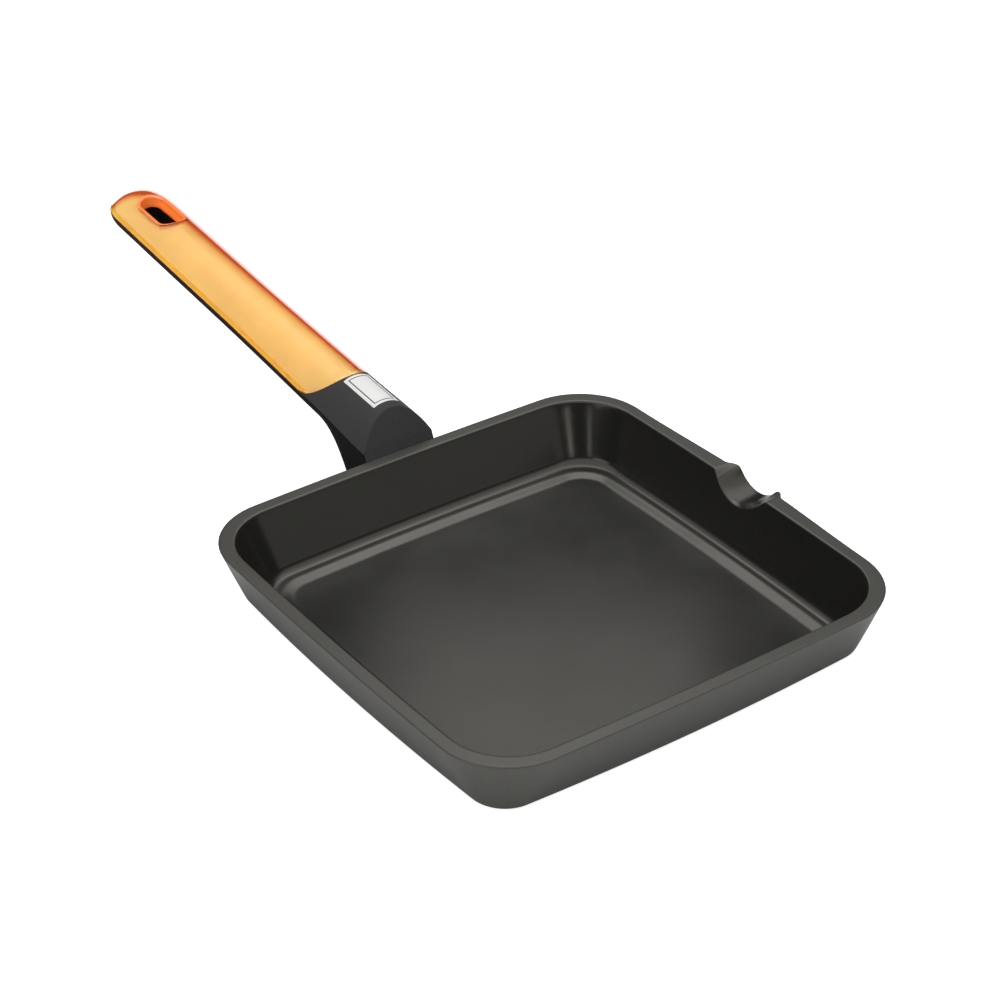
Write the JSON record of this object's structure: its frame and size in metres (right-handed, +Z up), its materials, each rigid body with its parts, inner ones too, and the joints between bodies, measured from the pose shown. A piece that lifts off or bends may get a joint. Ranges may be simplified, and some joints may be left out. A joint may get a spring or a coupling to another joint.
{
  "type": "square griddle pan",
  "caption": "Square cast griddle pan with flared walls, a pouring spout and a smooth stepped floor, on a fixed moulded handle with a translucent grip inlay and a hanging slot.",
  "frame": {"origin": "middle of the face that the pan rests on", "axes": "+Z up, +X from the pan along the handle, the spout in the wall at -Y"},
  "size_m": [0.4606, 0.2245, 0.0667],
  "materials": {
    "coated_casting": "matte non-stick coat with a fine speckle",
    "plate_steel": "brushed",
    "moulded_black": "satin",
    "amber_gel": "glossy translucent",
    "screw_steel": "satin",
    "washer_steel": "satin",
    "insert_steel": "satin"
  },
  "bodies": {
    "root": {"pan_body": "coated_casting", "induction_plate": "plate_steel", "handle_body": "moulded_black", "grip_inlay": "amber_gel", "handle_screw": "screw_steel", "screw_washer": "washer_steel", "threaded_insert": "insert_steel"}
  },
  "joints": []
}
